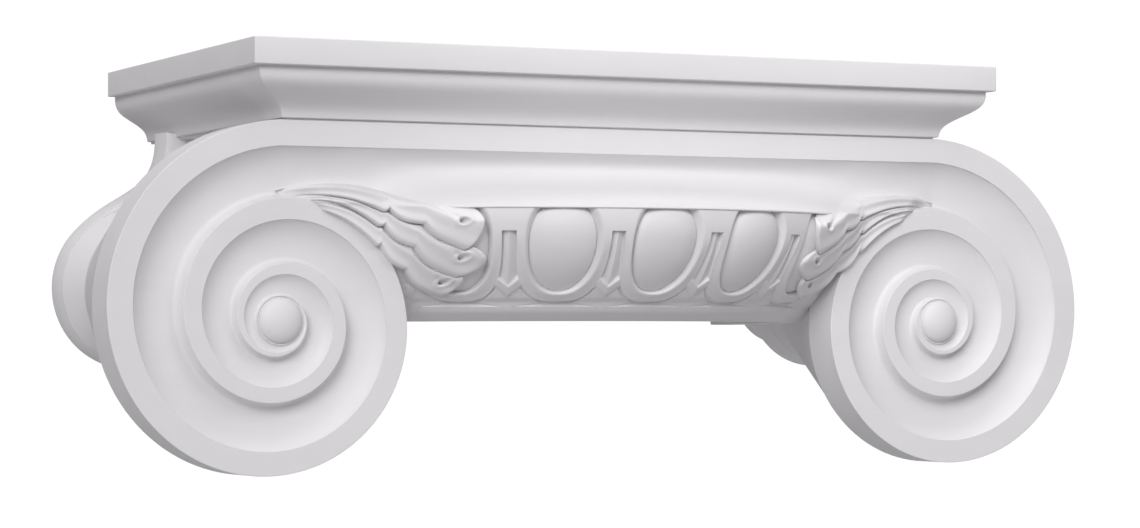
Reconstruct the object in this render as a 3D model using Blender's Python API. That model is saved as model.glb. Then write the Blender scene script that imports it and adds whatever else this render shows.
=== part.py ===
"""Ionic capital for a half column, cast in one piece and fixed flat against a wall.

X runs left to right, Y runs from the room towards the wall and Z is up, in metres.
The origin is the middle of the flat panel that bears on the wall, above the socket
that takes the top of the half column.
"""

import math

import bmesh
import bpy
import numpy as np

# Overall sizes. DATUM_Z is the underside of the abacus' flat band.
ABACUS_WIDTH = 0.350
ABACUS_DEPTH = 0.1875
DATUM_Z = 0.0245

# Abacus: a flat band over a cyma reversa, returned along both sides.
FASCIA_HEIGHT = 0.0110
FASCIA_STEP = 0.0033
CYMA_HEIGHT = 0.0195
CYMA_PROJECTION = 0.0152
CYMA_UPRIGHT = 0.12
CYMA_SWING = 0.80
CYMA_LAG = 0.08
CYMA_STEPS = 10

# Scroll plate: the face with the channel between the volutes, and the volutes.
FACE_Y = 0.0199 - ABACUS_DEPTH
PLATE_THICKNESS = 0.0192
SCROLL_TOP_Z = DATUM_Z - 0.0205
RIM_SHARE = 0.335
CHANNEL_DEPTH_SHARE = 0.18
CANALIS_DEPTH = 0.0050
CANALIS_END_X = 0.1020
LIP_HEIGHT = 0.0012
LIP_PROUD = 0.0006

# Volute spiral: three turns from the top of the scroll in to the eye.
EYE_X = 0.1566
EYE_Z = DATUM_Z - 0.1020
EYE_RADIUS = 0.0100
EYE_BUTTON_RADIUS = 0.0094
EYE_RISE = 0.0042
EYE_SEAT = 0.0020
TURNS = 3
SPIRAL_POWER = 1.55
CENTRE_SWAY = 0.00050
CENTRE_RISE = 0.00175

# Echinus: an ovolo turned about the column's axis, with one egg each 15 degrees.
AXIS_Y = 0.1549 - ABACUS_DEPTH
RING_RADIUS = 0.1774
RING_TOP_Z = DATUM_Z - 0.0552
OVOLO_START_Z = DATUM_Z - 0.05775
OVOLO_CURVE = 20.57
OVOLO_EASE = 7.43
OVOLO_END_Z = DATUM_Z - 0.0945
NECK_RADIUS = 0.1420
NECK_Z = DATUM_Z - 0.1020
SOFFIT_STEP = 0.0085
SOFFIT_STEP_Z = DATUM_Z - 0.0980
EGG_PITCH = math.radians(15.0)
EGG_HALF_ANGLE = math.radians(4.75)
EGG_Z = DATUM_Z - 0.0700
EGG_HALF_HEIGHT = 0.0196
EGG_FULLNESS = 2.2
EGG_RISE = 0.0043
EGG_SINK = 0.0035
SHELL_HALF_ANGLE = math.radians(6.5)
SHELL_HALF_HEIGHT = 0.0238
SHELL_FULLNESS = 3.0
DART_TOP_Z = DATUM_Z - 0.0653
DART_SINK = 0.0030
STEM_SINK = 0.0008
CHEVRON_TOP_Z = DATUM_Z - 0.0883
CHEVRON_TIP_Z = DATUM_Z - 0.0927
CHEVRON_SLOPE = 0.75
EGGS_EACH_SIDE = 2
FLANK_STEPS = 4

# Socket for the half column's shaft, open below and at the wall.
SOCKET_RADIUS = 0.1316
SOCKET_TOP_Z = DATUM_Z - 0.0600

# Bolsters: each volute runs back to the wall as a barrel that draws in to a valley, opens
# again as a short cup, and is tied by a belt with a neck that rises to the abacus.
VALLEY_X = 0.1765
VALLEY_Z = DATUM_Z - 0.0810
VALLEY_SCALE = 0.49
CUP_DEPTH = 0.0140
CUP_TUCK = 0.0020
STUB_X = 0.1690
STUB_RADIUS = 0.0245
BARREL_TUCK = 0.992
BELT_X = 0.1733
BELT_Z = DATUM_Z - 0.0863
BELT_RADIUS = 0.0357
BELT_CHAMFER = 0.0013
BELT_FRONT_Y = 0.1484 - ABACUS_DEPTH
BELT_WIDTH = 0.0130
BELT_NECK_ANGLE = math.radians(46.0)
BELT_NECK = ((0.1620, DATUM_Z - 0.0175), (0.1608, DATUM_Z - 0.0455), (0.1795, DATUM_Z - 0.0415))
BELT_NECK_STEPS = 7
BODY_HALF_WIDTH = 0.1470
CHEEK_X = 0.1590
CHEEK_TOP_Z = DATUM_Z - 0.0760

# Palmettes: three overlapping fronds fan from the top of each volute over the echinus. Each
# line runs from its root, drawn by two bends, to its end; a frond fills each gap between lines.
FROND_LINES = (
    ((0.1569, DATUM_Z - 0.0492), (0.1224, DATUM_Z - 0.0400), (0.1096, DATUM_Z - 0.0516),
     (0.0808, DATUM_Z - 0.0564)),
    ((0.1540, DATUM_Z - 0.0515), (0.1182, DATUM_Z - 0.0476), (0.1080, DATUM_Z - 0.0632),
     (0.0840, DATUM_Z - 0.0732)),
    ((0.1520, DATUM_Z - 0.0544), (0.1200, DATUM_Z - 0.0462), (0.1077, DATUM_Z - 0.0777),
     (0.0837, DATUM_Z - 0.0841)),
    ((0.1480, DATUM_Z - 0.0558), (0.1159, DATUM_Z - 0.0574), (0.1108, DATUM_Z - 0.0873),
     (0.0863, DATUM_Z - 0.0916)),
)
# Across a frond: share of its width, and share of its height there.
FROND_SECTION = ((0.08, 0.30), (0.40, 0.85), (0.80, 1.0))
FROND_HEIGHT = 0.0042
FROND_SUNK = 0.0012
FULL_SWELL = 0.50
FROND_ROOTING = 0.0170
FROND_STATIONS = 11
FROND_ON_RIM_X = 0.0960
LOBE_LENGTH = 0.0055
LOBE_NOTCH = 0.35
LOBE_STEPS = 3

# Fineness of the facets.
STEPS_PER_TURN = 28
NOTCH_STEPS = 2
CANALIS_STEPS = 11
BARREL_STEPS = 8
EYE_SIDES = 16
EYE_RINGS = 3
BELT_SIDES = 20

# Rounded forms shade smooth up to this angle; points closer than the weld are one.
CREASE_ANGLE = math.radians(32.0)
WELD = 0.00002

# How far parts run on into each other, and past the wall before the back is cut flat.
OVERLAP = 0.0040
OVERRUN = 0.012
WALL_BLOCK = 0.6


def clear_scene():
    for thing in list(bpy.data.objects):
        bpy.data.objects.remove(thing, do_unlink=True)


def primer_material():
    """White matt primer over the cast foam."""
    material = bpy.data.materials.new("white_primer")
    material.use_nodes = True
    shader = material.node_tree.nodes["Principled BSDF"]
    shader.inputs["Base Color"].default_value = (0.79, 0.79, 0.80, 1.0)
    shader.inputs["Roughness"].default_value = 0.55
    shader.inputs["Metallic"].default_value = 0.0
    material.diffuse_color = (0.79, 0.79, 0.80, 1.0)
    return material


def smoothstep(value, low, high):
    """Ease from 0 at low to 1 at high."""
    x = np.clip((value - low) / (high - low), 0.0, 1.0)
    return x * x * (3.0 - 2.0 * x)


def curve_point(start, bend, end, share):
    """A point on the curve from start to end that is drawn towards bend."""
    return (1 - share) ** 2 * start + 2 * share * (1 - share) * bend + share ** 2 * end


def drawn_line(line, share):
    """A point on the smooth line from its start by its two bends to its end."""
    start, first, second, end = (np.array(point) for point in line)
    return curve_point(start, first, second, share) * (1 - share) + curve_point(
        first, second, end, share) * share


def solid(name, points, faces, mirrored=False):
    """One closed mesh object; mirrored gives its twin on the other side of X = 0."""
    points = np.array(points, dtype=float).reshape(-1, 3)
    if mirrored:
        points = points * (-1.0, 1.0, 1.0)
    mesh = bpy.data.meshes.new(name)
    mesh.from_pydata(points.tolist(), [], [list(face) for face in faces])
    work = bmesh.new()
    work.from_mesh(mesh)
    bmesh.ops.remove_doubles(work, verts=work.verts, dist=WELD)
    bmesh.ops.dissolve_degenerate(work, edges=work.edges, dist=WELD)
    bmesh.ops.recalc_face_normals(work, faces=work.faces)
    work.to_mesh(mesh)
    work.free()
    mesh.shade_smooth()
    mesh.set_sharp_from_angle(angle=CREASE_ANGLE)
    body = bpy.data.objects.new(name, mesh)
    bpy.context.scene.collection.objects.link(body)
    return body


def loft(name, rings, mirrored=False):
    """A closed solid through rings of equal point count, with both ends capped."""
    rings = np.asarray(rings, dtype=float)
    count, size = rings.shape[:2]
    faces = []
    for i in range(count - 1):
        for j in range(size):
            k = (j + 1) % size
            faces.append((i * size + j, i * size + k, (i + 1) * size + k, (i + 1) * size + j))
    faces.append(range(size))
    faces.append(range((count - 1) * size, count * size))
    return solid(name, rings, faces, mirrored)


# ---------------------------------------------------------------- abacus

def cyma_curve(steps):
    """Cyma reversa below a short upright: a convex half, then a concave one, as (inset, drop)."""
    curve = [(0.0, 0.0)]
    for i in range(steps + 1):
        share = i / steps
        wave = math.sin(2.0 * math.pi * share) / (2.0 * math.pi)
        inset = share - CYMA_SWING * wave
        drop = CYMA_UPRIGHT + (1.0 - CYMA_UPRIGHT) * (share + CYMA_LAG * wave)
        curve.append((inset * CYMA_PROJECTION, drop * CYMA_HEIGHT))
    return curve


def abacus():
    levels = [(0.0, FASCIA_HEIGHT), (0.0, 0.0)]
    levels += [(FASCIA_STEP + inset, -drop) for inset, drop in cyma_curve(CYMA_STEPS)]
    levels.append((levels[-1][0] + OVERLAP, -CYMA_HEIGHT))
    levels.append((levels[-1][0], -CYMA_HEIGHT - OVERLAP))
    rings = []
    for inset, height in levels:
        half = ABACUS_WIDTH / 2.0 - inset
        front = inset - ABACUS_DEPTH
        z = DATUM_Z + height
        rings.append([(-half, front, z), (half, front, z), (half, OVERRUN, z), (-half, OVERRUN, z)])
    return loft("abacus", rings)


# ---------------------------------------------------------------- scroll plate

def spiral_radius(turn):
    share = 1.0 - np.clip(turn, 0.0, TURNS) / TURNS
    full = SCROLL_TOP_Z - EYE_Z
    return EYE_RADIUS + (full - EYE_RADIUS) * share ** SPIRAL_POWER


def spiral_point(turn, radius):
    """A point beside the spiral: turn 0 is straight up, and it first runs outwards."""
    angle = math.pi / 2.0 - 2.0 * math.pi * turn
    x = EYE_X + CENTRE_SWAY * np.sin(math.pi * np.clip(turn, 0.0, 1.0))
    z = EYE_Z + CENTRE_RISE * np.sin(math.pi * np.clip(turn, 0.0, 2.0) / 2.0)
    return x + radius * np.cos(angle), z + radius * np.sin(angle)


def echinus_front(x, radius):
    """Y of the front of a circle about the column's axis."""
    return AXIS_Y - np.sqrt(np.clip(radius * radius - x * x, 0.0, None))


# Across the band: share of its width, and share of the channel's depth there.
BAND_SECTION = (
    (0.0, 0.0), (RIM_SHARE, 0.0), (0.36, 0.18), (0.42, 0.43), (0.50, 0.68), (0.62, 0.89),
    (0.88, 1.0), (0.95, 0.82), (1.0, 0.0))


def volute_station(turn):
    """The band's section at one place on the spiral, from its outer edge inwards."""
    outer = spiral_radius(turn)
    inner = spiral_radius(turn + 1.0)
    depth = CHANNEL_DEPTH_SHARE * (outer - inner)
    x_out, z_out = spiral_point(turn, outer)
    x_in, z_in = spiral_point(turn + 1.0 if turn < TURNS - 1 else turn, inner)
    points = []
    for share, sink in BAND_SECTION:
        y = FACE_Y + depth * sink
        points.append((x_out + (x_in - x_out) * share, y, z_out + (z_in - z_out) * share))
    return points


def canalis_sink(across, reach):
    """Depth below the rim: a parabola to CANALIS_DEPTH, then out to reach before the rim."""
    fall = 2.0 * (CANALIS_DEPTH + np.sqrt(CANALIS_DEPTH * (CANALIS_DEPTH + reach)))
    return fall * across - (fall + reach) * across * across


def canalis_station(x, edge_z):
    """The band's section between the volutes, sweeping forward to the echinus."""
    edge_y = min(echinus_front(x, RING_RADIUS + LIP_PROUD), FACE_Y)
    to_volute = smoothstep(x, CANALIS_END_X, EYE_X)
    band = SCROLL_TOP_Z - edge_z
    points = []
    for share, sink in BAND_SECTION:
        y = FACE_Y
        if share > RIM_SHARE:
            across = (share - RIM_SHARE) / (1.0 - RIM_SHARE)
            swept = FACE_Y + canalis_sink(across, FACE_Y - edge_y)
            carved = FACE_Y + CHANNEL_DEPTH_SHARE * band * sink
            y = swept + (carved - swept) * to_volute
        points.append((x, y, SCROLL_TOP_Z - band * share))
    return points


def canalis_edge():
    """The channel's lower edge: along the echinus, then up on the volute's own rim."""
    on_rim = []
    for k in range(NOTCH_STEPS, 0, -1):
        turn = 1.0 - k / STEPS_PER_TURN
        on_rim.append(spiral_point(turn, spiral_radius(turn)))
    notch_x, notch_z = on_rim[0]
    edge = []
    for x in np.linspace(0.0, notch_x, CANALIS_STEPS + 1)[:-1]:
        rise = smoothstep(x, CANALIS_END_X, notch_x)
        edge.append((x, RING_TOP_Z + (notch_z - RING_TOP_Z) * rise))
    return edge + on_rim


def scroll_plate():
    """The front face: both volutes and the channel between them, closed behind."""
    half = [canalis_station(x, z) for x, z in canalis_edge()]
    half += [volute_station(k / STEPS_PER_TURN) for k in range(TURNS * STEPS_PER_TURN + 1)]
    half = np.array(half)
    stations, size = half.shape[:2]
    back = FACE_Y + PLATE_THICKNESS

    points = half.reshape(-1, 3).tolist()
    faces = []
    for i in range(stations - 1):
        for j in range(size - 1):
            a = i * size + j
            faces.append((a, a + 1, a + size + 1, a + size))

    # The eye's seat: a disc inside the last turn.
    start = CANALIS_STEPS + NOTCH_STEPS
    first = start + (TURNS - 1) * STEPS_PER_TURN
    faces.append([i * size + size - 1 for i in range(first, stations - 1)])

    # The lower lip of the channel, then the wall round the outline back to the plate's rear.
    lower = [i * size + size - 1 for i in range(CANALIS_STEPS + 1)]
    notch_x = points[lower[-1]][0]
    lip = []
    for index in lower:
        x, y, z = points[index]
        lip.append(len(points))
        points.append((x, y, z - LIP_HEIGHT * (1.0 - smoothstep(x, CANALIS_END_X, notch_x))))
    for a, b, c, d in zip(lower[:-1], lower[1:], lip[1:], lip[:-1]):
        faces.append((a, b, c, d))
    outline = [i * size for i in range(start + STEPS_PER_TURN - NOTCH_STEPS)] + lip[::-1]
    rear = []
    for index in outline:
        x, y, z = points[index]
        rear.append(len(points))
        points.append((x, back, z))
    for a, b, c, d in zip(outline[:-1], outline[1:], rear[1:], rear[:-1]):
        faces.append((a, b, c, d))

    # The other half is its mirror image, and one face closes the rear of both.
    count = len(points)
    points = points + [(-x, y, z) for x, y, z in points]
    faces = faces + [[index + count for index in face] for face in faces]
    faces.append(rear + [index + count for index in rear[::-1]])
    return solid("scroll_plate", points, faces)


def eye(side):
    """A domed button in the middle of the volute."""
    rings = []
    for i in range(EYE_RINGS + 1):
        angle = math.pi / 2.0 * i / (EYE_RINGS + 0.6)
        radius = EYE_BUTTON_RADIUS * math.cos(angle)
        y = FACE_Y + EYE_SEAT - EYE_RISE * math.sin(angle)
        rings.append([(EYE_X + radius * math.cos(a), y, EYE_Z + radius * math.sin(a))
                      for a in np.linspace(0.0, 2.0 * math.pi, EYE_SIDES, endpoint=False)])
    base = [(x, FACE_Y + EYE_SEAT + OVERLAP, z) for x, _, z in rings[0]]
    return loft("eye", [base] + rings, side < 0)


# ---------------------------------------------------------------- echinus and neck

def ovolo_radius(z):
    """Radius of the egg band's carrying surface at a height."""
    drop = np.clip(OVOLO_START_Z - z, 0.0, None)
    return RING_RADIUS - OVOLO_CURVE * drop * drop / (1.0 + OVOLO_EASE * drop)


def half_oval(z, half_width, half_height, fullness):
    """Half width at height z of an oval centred on the eggs' middle; 2 makes it an ellipse."""
    share = min(abs(z - EGG_Z) / half_height, 1.0)
    return half_width * (1.0 - share ** fullness) ** (1.0 / fullness)


# One egg's columns from its middle out to the dart's middle, as (zone, share of the zone).
EGG_COLUMNS = (
    ("egg", 0.0), ("egg", 0.40), ("egg", 0.72), ("egg", 0.93), ("egg", 1.0), ("shell", 1.0),
    ("dart", 0.12), ("dart", 1.0))
EGG_ROWS = (
    RING_TOP_Z - 0.0004, DATUM_Z - 0.0580, DATUM_Z - 0.0615, DART_TOP_Z + 0.0003,
    DART_TOP_Z - 0.0003, DATUM_Z - 0.0700, DATUM_Z - 0.0755, DATUM_Z - 0.0805, DATUM_Z - 0.0845,
    DATUM_Z - 0.0873, EGG_Z - EGG_HALF_HEIGHT, DATUM_Z - 0.0915, EGG_Z - SHELL_HALF_HEIGHT,
    OVOLO_END_Z)


def egg_band_point(zone, share, z):
    """Angle from the egg's middle, and height of the carving, in one column at height z."""
    egg_edge = half_oval(z, EGG_HALF_ANGLE, EGG_HALF_HEIGHT, EGG_FULLNESS)
    if z > EGG_Z:
        shell_edge = SHELL_HALF_ANGLE
    else:
        shell_edge = half_oval(z, SHELL_HALF_ANGLE, SHELL_HALF_HEIGHT, SHELL_FULLNESS)
    low = -EGG_SINK * smoothstep(z, EGG_Z - SHELL_HALF_HEIGHT, EGG_Z - EGG_HALF_HEIGHT)
    if zone == "egg":
        angle = share * egg_edge
        up = (z - EGG_Z) / EGG_HALF_HEIGHT
        out = angle / EGG_HALF_ANGLE
        dome = math.sqrt(max(0.0, 1.0 - up * up - out * out))
        return angle, low + EGG_RISE * dome if abs(up) < 1.0 else low
    if zone == "shell":
        return shell_edge, 0.0
    angle = shell_edge + (EGG_PITCH / 2.0 - shell_edge) * share
    if z > DART_TOP_Z:
        return angle, 0.0
    floor = -DART_SINK * smoothstep(z, OVOLO_END_Z, CHEVRON_TIP_Z)
    if share == 1.0:
        floor = -STEM_SINK if z > CHEVRON_TOP_Z else floor
    reach = (EGG_PITCH / 2.0 - angle) * ovolo_radius(z)
    if CHEVRON_TIP_Z + CHEVRON_SLOPE * reach < z < CHEVRON_TOP_Z + CHEVRON_SLOPE * reach:
        floor = -STEM_SINK
    return angle, floor


def bell():
    """The ovolo with its eggs, the plain soffit, the neck and the socket, as one loft."""
    angles = []
    for egg in range(-EGGS_EACH_SIDE, EGGS_EACH_SIDE + 1):
        for zone, share in EGG_COLUMNS[:0:-1]:
            angles.append((egg, -1, zone, share))
        for zone, share in EGG_COLUMNS[:-1]:
            angles.append((egg, 1, zone, share))
    angles.append((EGGS_EACH_SIDE, 1, *EGG_COLUMNS[-1]))
    sections = []
    for egg, sign, zone, share in angles:
        outer = []
        for z in EGG_ROWS:
            angle, height = egg_band_point(zone, share, z)
            outer.append((egg * EGG_PITCH + sign * angle, ovolo_radius(z) + height, z))
        middle = (egg + sign * 0.5) * EGG_PITCH if zone == "dart" and share == 1.0 else outer[3][0]
        sections.append((middle, outer))
    end = (EGGS_EACH_SIDE + 0.5) * EGG_PITCH
    for angle in np.linspace(end, math.pi / 2.0, FLANK_STEPS + 1)[1:]:
        fade = smoothstep(angle, end, math.pi / 2.0)
        plain = []
        for z in EGG_ROWS:
            radius = ovolo_radius(z)
            plain.append((angle, radius + (NECK_RADIUS - radius) * fade, z))
        sections.append((angle, plain))
        sections.insert(0, (-angle, [(-a, r, z) for a, r, z in plain]))

    rings = []
    for middle, outer in sections:
        ring = [(a, r, z) for a, r, z in outer]
        ring.append((middle, NECK_RADIUS + SOFFIT_STEP, SOFFIT_STEP_Z))
        ring.append((middle, NECK_RADIUS, NECK_Z))
        ring.append((middle, SOCKET_RADIUS, NECK_Z))
        ring.append((middle, SOCKET_RADIUS, SOCKET_TOP_Z + OVERRUN))
        rings.append([(r * math.sin(a), AXIS_Y - r * math.cos(a), z) for a, r, z in ring])
    for index, place in ((0, 0), (-1, len(rings) + 1)):
        rings.insert(place, [(x, OVERRUN, z) for x, _, z in rings[index]])
    return loft("bell", rings)


def body():
    """The block between the bolsters that carries everything and bears on the wall."""
    half = BODY_HALF_WIDTH
    front = FACE_Y + PLATE_THICKNESS - OVERLAP
    low, high = SOCKET_TOP_Z, DATUM_Z - CYMA_HEIGHT + OVERLAP
    rings = [[(-half, front, z), (half, front, z), (half, OVERRUN, z), (-half, OVERRUN, z)]
             for z in (low, high)]
    return loft("body", rings)


# ---------------------------------------------------------------- bolsters

def barrel_outline():
    """The volute's outline, closed up the side that faces the column."""
    points = []
    for k in range(int(0.75 * STEPS_PER_TURN) + 1):
        turn = k / STEPS_PER_TURN
        points.append(spiral_point(turn, spiral_radius(turn)))
    inner_x = points[-1][0]
    for share in (0.35, 0.7, 1.0):
        points.append((inner_x, EYE_Z + (SCROLL_TOP_Z - EYE_Z) * share))
    points.append(((inner_x + EYE_X) / 2.0, SCROLL_TOP_Z))
    return np.array(points)


def belt_loop(count, radius, middle_x=BELT_X):
    """Points on a circle at the belt's height, from its top outwards."""
    angles = math.pi / 2.0 - 2.0 * math.pi * np.arange(count) / count
    return np.stack([middle_x + radius * np.cos(angles), BELT_Z + radius * np.sin(angles)], axis=1)


def barrel(side):
    """The volute's outline drawn in to the valley, opened into the circle of the belt, and
    behind the belt a plain stub to the wall."""
    outline = barrel_outline()
    middle = np.array((VALLEY_X, VALLEY_Z))
    start = FACE_Y + PLATE_THICKNESS
    valley = BELT_FRONT_Y - CUP_DEPTH
    levels = [(start - OVERLAP, BARREL_TUCK)]
    for run in np.linspace(0.0, 1.0, BARREL_STEPS + 1):
        scale = 1.0 + (VALLEY_SCALE - 1.0) * run
        levels.append((start + (valley - start) * run, scale * BARREL_TUCK))
    rings = [(y, middle + scale * (outline - middle)) for y, scale in levels]
    circle = belt_loop(len(outline), BELT_RADIUS - CUP_TUCK)
    stub = belt_loop(len(outline), STUB_RADIUS, STUB_X)
    front, rear = BELT_FRONT_Y + CUP_TUCK, BELT_FRONT_Y + BELT_WIDTH - CUP_TUCK
    rings += [(front, circle), (rear, circle), (rear + CUP_DEPTH / 2.0, stub), (OVERRUN, stub)]
    return loft("barrel", [[(x, y, z) for x, z in ring] for y, ring in rings], side < 0)


def belt(side):
    """A band round the waist with a neck that rises to the abacus."""
    top = BELT_NECK[0][1]
    middle = np.array((BELT_X, BELT_Z))
    rings = []
    for y, draw in ((BELT_FRONT_Y, BELT_CHAMFER), (BELT_FRONT_Y + BELT_WIDTH * 0.7, 0.0),
                    (BELT_FRONT_Y + BELT_WIDTH, 0.0)):
        radius = BELT_RADIUS - draw
        outline = []
        for angle in np.linspace(BELT_NECK_ANGLE, -math.pi, BELT_SIDES):
            outline.append(middle + radius * np.array((math.cos(angle), math.sin(angle))))
        outline.append(np.array((BELT_X - radius, top)))
        neck = BELT_NECK + (outline[0],)
        for share in np.linspace(0.0, 1.0, BELT_NECK_STEPS + 1)[:-1]:
            point = drawn_line(neck, share)
            outline.append(point - (draw * (1.0 - share), 0.0))
        rings.append([(x, y, z) for x, z in outline])
    return loft("belt", rings, side < 0)


def cheek(side):
    """The soffit between the neck and the bolster, and the web above it, back to the wall."""
    inner = SOCKET_RADIUS + OVERLAP / 2.0
    high = SOCKET_TOP_Z + OVERLAP * 0.8
    section = [(inner, NECK_Z), (CHEEK_X, NECK_Z), (CHEEK_X, CHEEK_TOP_Z),
               (BODY_HALF_WIDTH + OVERLAP / 4.0, high), (inner, high)]
    rings = [[(x, y, z) for x, z in section] for y in (AXIS_Y, OVERRUN)]
    return loft("cheek", rings, side < 0)


# ---------------------------------------------------------------- palmettes

def carved_front(x, z):
    """Y of the surface that a frond lies on: the echinus, the channel or the volute."""
    on_ring = echinus_front(x, ovolo_radius(z))
    edge = echinus_front(x, RING_RADIUS)
    channel_top = SCROLL_TOP_Z - RIM_SHARE * (SCROLL_TOP_Z - RING_TOP_Z)
    across = np.clip((channel_top - z) / (channel_top - RING_TOP_Z), 0.0, 1.0)
    on_slope = FACE_Y + canalis_sink(across, FACE_Y - min(edge, FACE_Y))
    front = on_ring if z < RING_TOP_Z else on_slope
    return min(front, FACE_Y) if x > FROND_ON_RIM_X else front


def palmette(side):
    """Three fronds that swell from the root and end in round lobes, as one loft."""
    stations = [(share, 0.0) for share in np.linspace(0.0, 1.0, FROND_STATIONS)]
    stations += [(1.0, step / LOBE_STEPS) for step in range(1, LOBE_STEPS + 1)]
    rings = []
    for share, lobe in stations:
        lines = [drawn_line(line, share) for line in FROND_LINES]
        swell = math.sin(math.pi / 2.0 * min(1.0, share / FULL_SWELL)) * math.sqrt(1.0 - lobe * lobe)
        reach = LOBE_LENGTH * math.sin(math.pi / 2.0 * lobe)
        front = [(lines[0][0] - reach * LOBE_NOTCH, lines[0][1], -FROND_SUNK)]
        for high, low in zip(lines[:-1], lines[1:]):
            for across, height in FROND_SECTION:
                x, z = high + (low - high) * across
                ahead = LOBE_NOTCH + (1.0 - LOBE_NOTCH) * math.sin(math.pi * across)
                rise = (FROND_HEIGHT * height + FROND_SUNK) * swell - FROND_SUNK
                front.append((x - reach * ahead, z, rise))
        front.append((lines[-1][0] - reach * LOBE_NOTCH, lines[-1][1], -FROND_SUNK))
        ring = [(x, carved_front(x, z) - rise, z) for x, z, rise in front]
        for x, z in lines[::-1]:
            x -= reach * LOBE_NOTCH
            ring.append((x, carved_front(x, z) + FROND_ROOTING, z))
        rings.append(ring)
    return loft("palmette", rings, side < 0)


# ---------------------------------------------------------------- assembly

def as_tool(tool):
    tool.hide_render = True
    tool.display_type = "WIRE"


def combine(base, tool, operation):
    step = base.modifiers.new(operation.lower() + "_" + tool.name, "BOOLEAN")
    step.operation = operation
    step.solver = "EXACT"
    step.object = tool
    as_tool(tool)


def wall_block():
    """Everything behind the wall's plane, cut away to leave the flat back."""
    half = WALL_BLOCK / 2.0
    rings = [[(-half, 0.0, z), (half, 0.0, z), (half, half, z), (-half, half, z)]
             for z in (-half, half)]
    return loft("wall_block", rings)


def build():
    clear_scene()
    capital = abacus()
    capital.name = "ionic_capital"
    capital.data.materials.append(primer_material())
    parts = [body(), bell(), scroll_plate()]
    for side in (1, -1):
        parts += [cheek(side), barrel(side), belt(side), eye(side), palmette(side)]
    for part in parts:
        combine(capital, part, "UNION")
    combine(capital, wall_block(), "DIFFERENCE")
    return capital


build()
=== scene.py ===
"""An ionic capital for a half column, in white primer, dressed around its packed model.

Laid out as an add-on and run as a script: each operator makes one piece or a pair of like
pieces from the sizes in its group. X runs left to right, Y from the room to the wall and Z up,
in metres. A drop is a distance below the foot of the flat band on top.
"""

from math import pi, radians

import bmesh
import bpy
import numpy as np
from bpy.props import FloatProperty, FloatVectorProperty, IntProperty, PointerProperty
from bpy.types import Operator, Panel, PropertyGroup
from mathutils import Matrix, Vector
from numpy import concatenate as join


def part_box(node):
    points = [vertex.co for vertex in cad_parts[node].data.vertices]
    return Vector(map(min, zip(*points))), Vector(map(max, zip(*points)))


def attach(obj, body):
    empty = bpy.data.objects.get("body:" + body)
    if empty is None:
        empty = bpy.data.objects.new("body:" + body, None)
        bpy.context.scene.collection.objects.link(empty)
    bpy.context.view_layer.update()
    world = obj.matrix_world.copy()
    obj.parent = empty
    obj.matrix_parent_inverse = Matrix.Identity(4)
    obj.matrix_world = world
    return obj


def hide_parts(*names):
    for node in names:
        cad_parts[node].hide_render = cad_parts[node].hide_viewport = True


bl_info = {
    "name": "Ionic capital",
    "version": (1, 0, 0),
    "blender": (4, 5, 0),
    "location": "View3D > Sidebar > Capital",
    "description": "Makes an ionic half capital: abacus, scrolls, eggs, bolsters and leaves",
    "category": "Add Mesh",
}

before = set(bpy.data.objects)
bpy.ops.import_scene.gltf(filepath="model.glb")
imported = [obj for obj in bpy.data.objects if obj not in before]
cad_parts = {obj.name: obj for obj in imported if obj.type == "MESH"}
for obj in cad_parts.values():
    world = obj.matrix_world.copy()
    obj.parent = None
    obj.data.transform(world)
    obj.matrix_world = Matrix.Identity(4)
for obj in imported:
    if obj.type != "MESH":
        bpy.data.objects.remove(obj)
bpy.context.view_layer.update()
NODE = "ionic_capital"
LOW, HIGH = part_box(NODE)

# Levels and lines that the pieces share, from the packed model's box.
FASCIA = 0.011
DATUM_Z = HIGH.z - FASCIA
WALL_Y = HIGH.y
DEPTH = 0.1875
FACE_Y = WALL_Y - DEPTH + 0.0199
SCROLL_TOP_Z = DATUM_Z - 0.0205
AXIS_Y = WALL_Y - 0.0326
RING_Z = DATUM_Z - 0.0552
NECK_Z = DATUM_Z - 0.102
SOCKET_TOP_Z = DATUM_Z - 0.06


# ---- sizes and colours

def size(name, value, description):
    """A length in metres that a user may change."""
    return FloatProperty(
        name=name, description=description, default=value, min=0.0, precision=5, unit="LENGTH")


def share(name, value, description):
    return FloatProperty(name=name, description=description, default=value, precision=3)


def turn(name, degrees, description):
    return FloatProperty(
        name=name, description=description, default=radians(degrees), unit="ROTATION")


def colour(name, value, description):
    return FloatVectorProperty(
        name=name, description=description, default=value, size=3, min=0.0, max=1.0,
        subtype="COLOR")


class AbacusSizes(PropertyGroup):
    """Sizes of the slab on top: a flat band over a cyma reversa."""
    width: size("Width", 0.35, "Width of the flat band across the front")
    step: size("Step", 0.0033, "How far the cyma stands back from the band")
    cyma_height: size("Cyma height", 0.0195, "Height of the cyma")
    cyma_projection: size("Cyma projection", 0.0152, "How far the cyma draws in")
    swing: share("Swing", 0.8, "How strongly the cyma bends out and in")
    rounding: size("Edge rounding", 0.0005, "Radius of the worn edges")


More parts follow.
